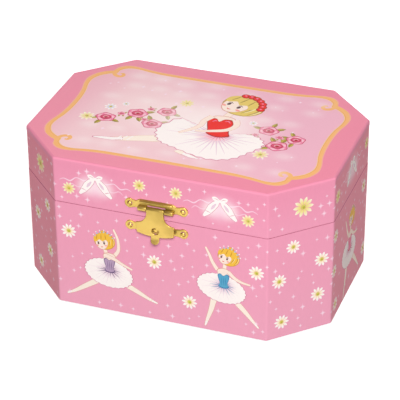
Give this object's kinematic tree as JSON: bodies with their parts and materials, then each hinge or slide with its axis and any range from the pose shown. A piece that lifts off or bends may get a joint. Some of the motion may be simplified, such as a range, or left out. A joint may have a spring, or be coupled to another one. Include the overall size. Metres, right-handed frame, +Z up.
{
  "type": "wind-up music box",
  "caption": "Octagonal wind-up musical jewellery box with a hinged mirrored lid, brass hasp, ring rolls and a dancer that turns on a spring movement.",
  "frame": {"origin": "middle of the case's outline at table level, on the underside of the felt pad", "axes": "+Z up, front with the hasp towards -Y, +X to the right seen from the front"},
  "size_m": [0.18, 0.1472, 0.094],
  "materials": {
    "felt": "felt",
    "board": "raw greyboard",
    "printed_paper": "printed, lightly coated",
    "flock": "flocked liner",
    "lining_paper": "plain lining paper",
    "velvet": "velvet",
    "mirror": "silvered glass",
    "gilt": "stamped, gilt",
    "brass": "turned",
    "steel": "brushed",
    "spring_steel": "blued",
    "white_plastic": "moulded",
    "figure": "moulded, painted",
    "net": "net"
  },
  "bodies": {
    "case": {"bottom_felt": "felt", "base_floor": "board", "base_walls": "board", "rear_board": "board", "base_wrap": "printed_paper", "base_liner": "flock", "floor_liner": "flock", "divider_boards": "flock", "ring_tray": "flock", "ring_roll_pads": "velvet", "movement_cover": "flock", "stage_board": "lining_paper", "hinge_base_leaves": "gilt", "hinge_pins": "brass", "hinge_base_nails": "gilt", "catch_plate": "gilt", "catch_plate_nails": "gilt", "key_escutcheon": "gilt", "movement_bedplate": "steel", "movement_screws": "steel", "spring_housing": "brass", "mainspring": "spring_steel", "comb": "spring_steel", "comb_screws": "steel", "governor_bracket": "steel", "spindle_bracket": "steel", "plunger_spring": "spring_steel"},
    "lid": {"lid_walls": "board", "lid_top_board": "board", "lid_wrap": "printed_paper", "lid_liner": "lining_paper", "lid_top_liner": "lining_paper", "mirror": "mirror", "plunger_presser": "lining_paper", "hinge_lid_leaves": "gilt", "hinge_lid_nails": "gilt", "hasp_plate": "gilt", "hasp_pin": "brass", "hasp_plate_nails": "gilt"},
    "hasp": {"hasp": "gilt"},
    "key": {"winding_key": "gilt", "winding_arbor": "steel", "arbor_clip": "steel"},
    "main_gear": {"crown_gear": "brass"},
    "cylinder": {"pinned_cylinder": "brass", "cylinder_shaft": "steel"},
    "governor_wheel": {"governor_wheel": "brass"},
    "fly": {"governor_fly": "brass"},
    "spindle": {"spindle": "steel", "turntable": "white_plastic", "dancer_spring": "spring_steel"},
    "dancer": {"dancer_figure": "figure", "dancer_tutu": "net"},
    "plunger": {"stop_plunger": "steel", "plunger_cap": "white_plastic"}
  },
  "joints": [
    {"name": "lid_open", "type": "hinge", "parent": "case", "child": "lid", "pos_m": [0, 0.0644, 0.0665], "axis": [-1, 0, 0], "range_deg": [0, 100]},
    {"name": "hasp_swing", "type": "hinge", "parent": "lid", "child": "hasp", "pos_m": [-0.0015, -0.0643, 0.0726], "axis": [-1, 0, 0], "range_deg": [0, 150]},
    {"name": "key_wind", "type": "hinge", "parent": "case", "child": "key", "pos_m": [0, 0.06775, 0.02], "axis": [0, 1, 0], "continuous": true},
    {"name": "cylinder_spin", "type": "hinge", "parent": "case", "child": "cylinder", "pos_m": [0.025, 0.04155, 0.02], "axis": [1, 0, 0], "continuous": true},
    {"name": "main_gear_spin", "type": "hinge", "parent": "case", "child": "main_gear", "pos_m": [0, 0.04635, 0.02], "axis": [0, 1, 0], "continuous": true},
    {"name": "governor_spin", "type": "hinge", "parent": "case", "child": "governor_wheel", "pos_m": [0.038, 0.04155, 0.0285], "axis": [1, 0, 0], "continuous": true},
    {"name": "fly_spin", "type": "hinge", "parent": "case", "child": "fly", "pos_m": [0.0406, 0.0468, 0.0285], "axis": [0, 0, 1], "continuous": true},
    {"name": "spindle_spin", "type": "hinge", "parent": "case", "child": "spindle", "pos_m": [0, 0.04155, 0.036], "axis": [0, 0, 1], "continuous": true},
    {"name": "dancer_sway", "type": "hinge", "parent": "spindle", "child": "dancer", "pos_m": [0, 0.04155, 0.049], "axis": [1, 0, 0], "range_deg": [-15, 15], "stiffness_Nm_per_rad": 0.005},
    {"name": "plunger_rise", "type": "slide", "parent": "case", "child": "plunger", "axis": [0, 0, 1], "range_m": [0, 0.0036], "deforming": ["plunger_spring"]}
  ],
  "couplings": [
    {"joint": "main_gear_spin", "follows": "cylinder_spin", "ratio": -0.25},
    {"joint": "governor_spin", "follows": "cylinder_spin", "ratio": -2.4},
    {"joint": "fly_spin", "follows": "cylinder_spin", "ratio": 38.4},
    {"joint": "spindle_spin", "follows": "cylinder_spin", "ratio": 1},
    {"joint": "plunger_rise", "follows": "lid_open", "m_per_rad": 0.0020054}
  ]
}
